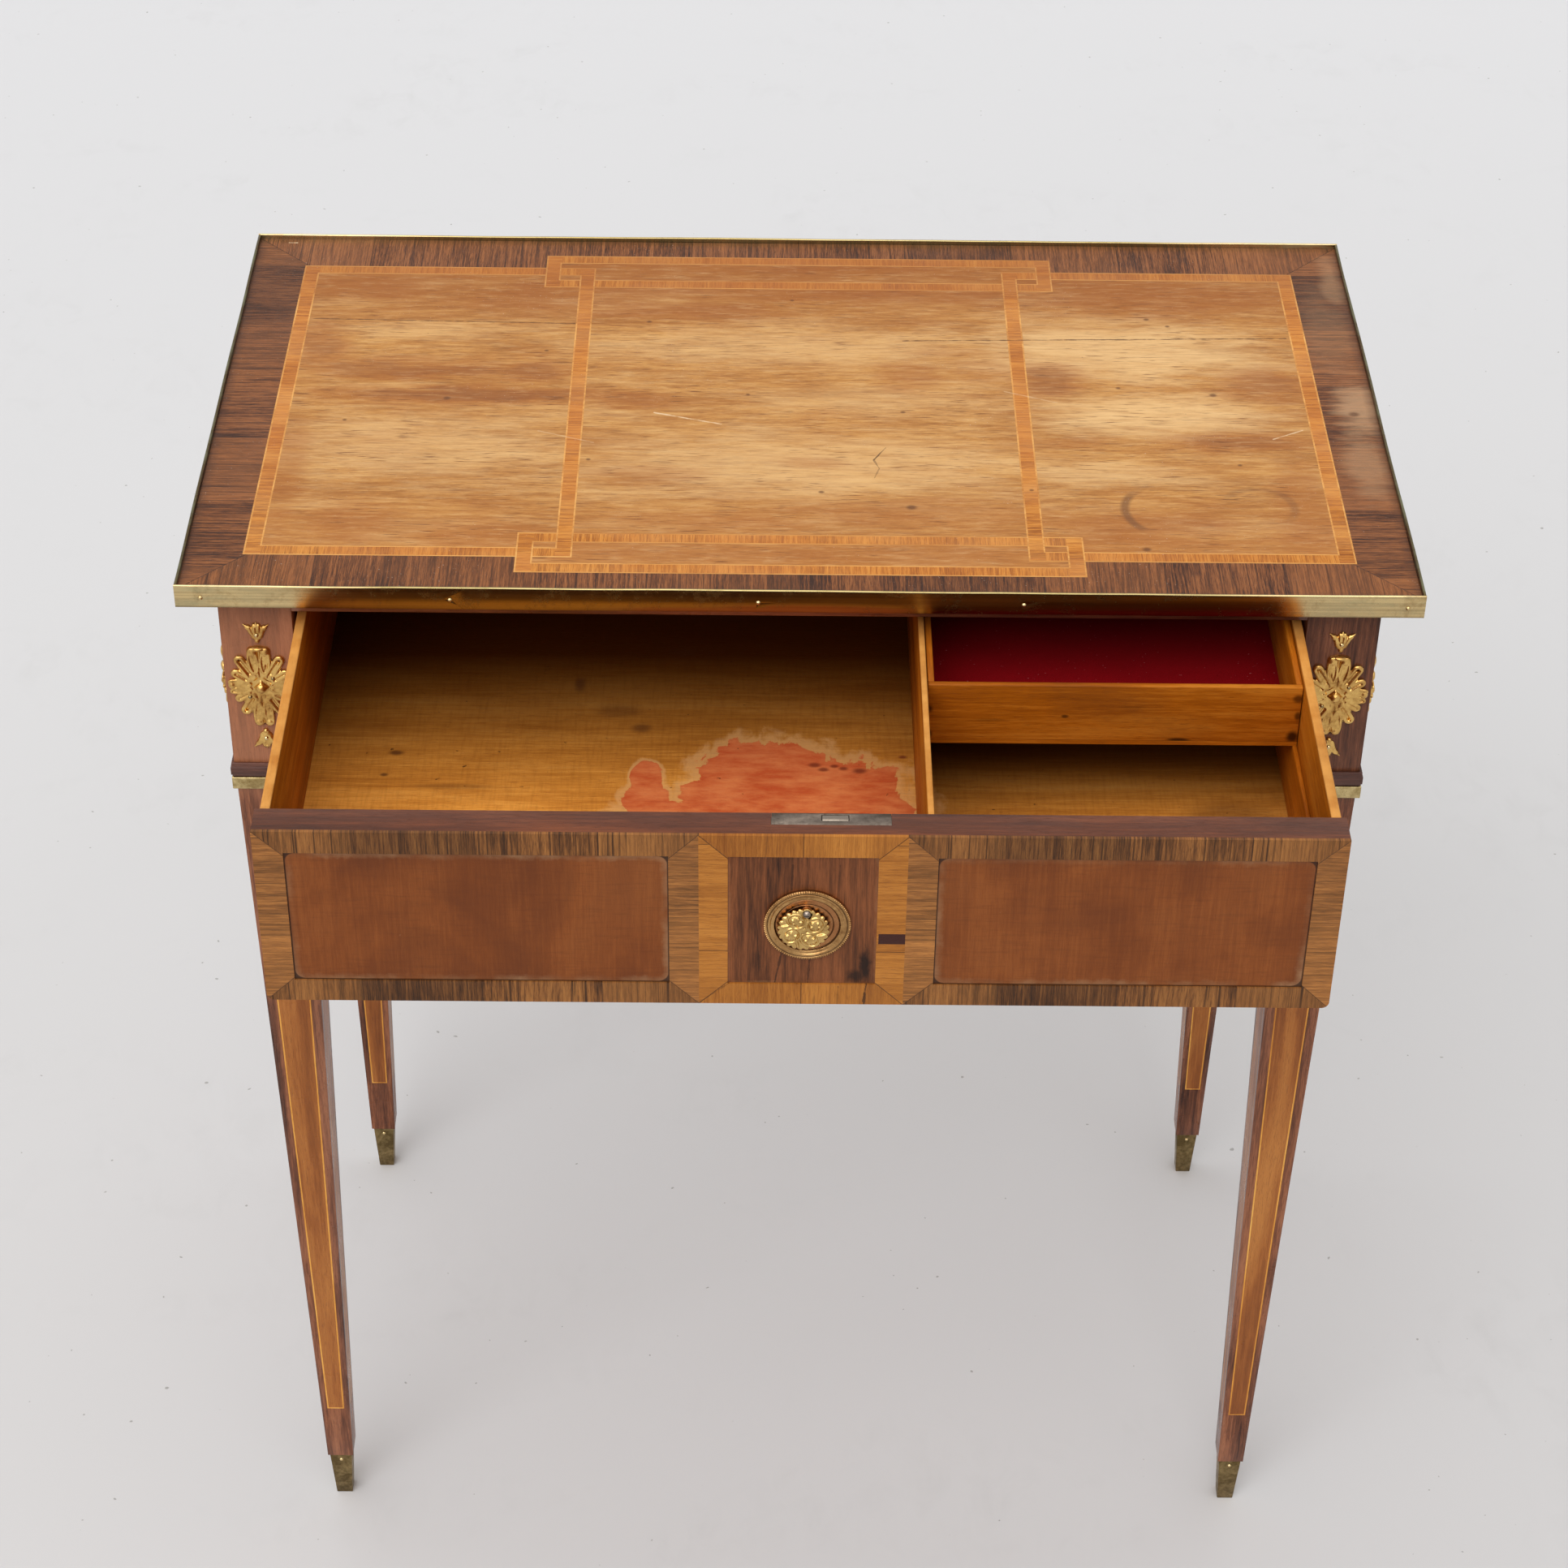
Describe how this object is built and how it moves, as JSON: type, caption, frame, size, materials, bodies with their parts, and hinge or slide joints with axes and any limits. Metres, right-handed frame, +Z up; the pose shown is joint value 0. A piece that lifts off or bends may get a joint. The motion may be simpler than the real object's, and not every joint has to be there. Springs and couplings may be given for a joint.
{
  "type": "work table",
  "caption": "Small veneered work table with a drawer that holds a lined sliding tray, a lock with swinging keyhole cover, brass rim, gilt mounts and tapered inlaid legs.",
  "frame": {"origin": "on the floor, under the middle of the four legs and of the top", "axes": "+X to the right and +Y to the back as seen from the drawer's side, +Z up"},
  "size_m": [0.6748, 0.5704, 0.76],
  "materials": {
    "carcase_wood": "oiled",
    "rosewood": "french polished",
    "satinwood_field": "worn polish",
    "tulipwood": "polished",
    "boxwood": "polished",
    "kingwood": "polished",
    "panel_veneer": "polished",
    "light_frame_veneer": "polished",
    "drawer_front_board": "polished",
    "drawer_wood": "varnished",
    "aged_brass": "aged",
    "dark_brass": "tarnished",
    "gilt_bronze": "worn gilding",
    "lock_steel": "worn",
    "lining_cloth": "felt"
  },
  "bodies": {
    "table": {"top_board": "carcase_wood", "top_border_veneer": "rosewood", "top_field_veneer": "satinwood_field", "top_crossbands": "tulipwood", "top_stringing": "boxwood", "rim_front": "aged_brass", "rim_back": "aged_brass", "rim_left": "aged_brass", "rim_right": "aged_brass", "brass_pins": "aged_brass", "side_apron_left": "carcase_wood", "side_apron_right": "carcase_wood", "back_apron": "carcase_wood", "apron_crossbanding": "kingwood", "apron_panels": "panel_veneer", "front_top_rail": "rosewood", "front_low_rail": "carcase_wood", "runner_left": "carcase_wood", "runner_right": "carcase_wood", "kicker_left": "carcase_wood", "kicker_right": "carcase_wood", "glue_blocks": "carcase_wood", "leg_front_left": "rosewood", "leg_front_right": "rosewood", "leg_back_left": "rosewood", "leg_back_right": "rosewood", "leg_inlay_panels": "tulipwood", "leg_stringing": "boxwood", "collar_mouldings": "rosewood", "collar_bands": "aged_brass", "collar_drops": "aged_brass", "collar_screws": "aged_brass", "brass_shoes": "dark_brass", "rosettes": "gilt_bronze", "bellflowers": "gilt_bronze"},
    "drawer": {"drawer_front": "drawer_front_board", "drawer_crossbanding": "kingwood", "drawer_panels": "panel_veneer", "centre_frame": "light_frame_veneer", "centre_panel": "rosewood", "drawer_side_left": "drawer_wood", "drawer_side_right": "drawer_wood", "drawer_back": "drawer_wood", "drawer_bottom": "drawer_wood", "drawer_divider": "drawer_wood", "tray_ledges": "drawer_wood", "escutcheon": "gilt_bronze", "cover_pivot_screw": "lock_steel", "lock_case": "lock_steel", "lock_screws": "lock_steel"},
    "lock_bolt": {"lock_bolt": "lock_steel"},
    "keyhole_cover": {"keyhole_cover": "gilt_bronze"},
    "tray": {"tray_front": "drawer_wood", "tray_back": "drawer_wood", "tray_side_left": "drawer_wood", "tray_side_right": "drawer_wood", "tray_bottom": "drawer_wood", "tray_lining": "lining_cloth"}
  },
  "joints": [
    {"name": "drawer_slide", "type": "slide", "parent": "table", "child": "drawer", "axis": [0, -1, 0], "range_m": [-0.192, 0.05]},
    {"name": "tray_slide", "type": "slide", "parent": "drawer", "child": "tray", "axis": [0, -1, 0], "range_m": [0, 0.115]},
    {"name": "lock_bolt_slide", "type": "slide", "parent": "drawer", "child": "lock_bolt", "axis": [0, 0, 1], "range_m": [0, 0.0065]},
    {"name": "cover_swing", "type": "hinge", "parent": "drawer", "child": "keyhole_cover", "pos_m": [0.0035, -0.3715, 0.683], "axis": [0, 1, 0], "range_deg": [-100, 100]}
  ]
}
